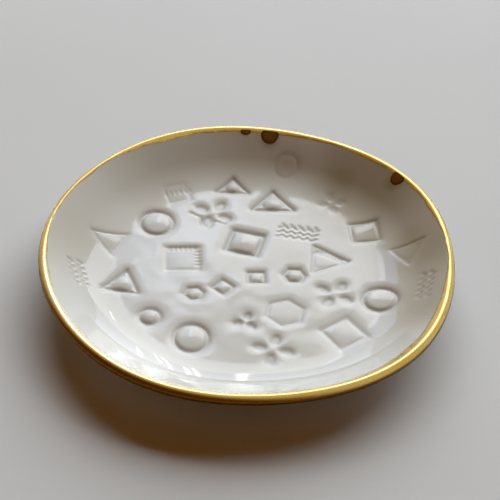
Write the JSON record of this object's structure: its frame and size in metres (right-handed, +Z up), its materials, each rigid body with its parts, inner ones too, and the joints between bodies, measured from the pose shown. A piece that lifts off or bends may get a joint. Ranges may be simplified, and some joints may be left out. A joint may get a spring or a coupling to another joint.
{
  "type": "ring dish",
  "caption": "Small shallow round porcelain dish with figures pressed into its glazed floor and a gold rim, for rings and small jewellery.",
  "frame": {"origin": "centre of the flat foot, on the surface that the dish rests on", "axes": "+Z up out of the dish, +Y away from the side that the picture was taken from"},
  "size_m": [0.0994, 0.099, 0.0117],
  "materials": {
    "bisque_porcelain": "matt, unglazed",
    "white_glaze": "glossy",
    "gold_lustre": "fired gold lustre, brushed on",
    "thick_gold_lustre": "fired gold lustre, thick and brown"
  },
  "bodies": {
    "root": {"porcelain_body": "bisque_porcelain", "inner_glaze": "white_glaze", "outer_glaze": "white_glaze", "gold_rim": "gold_lustre", "gold_runs": "thick_gold_lustre"}
  },
  "joints": []
}
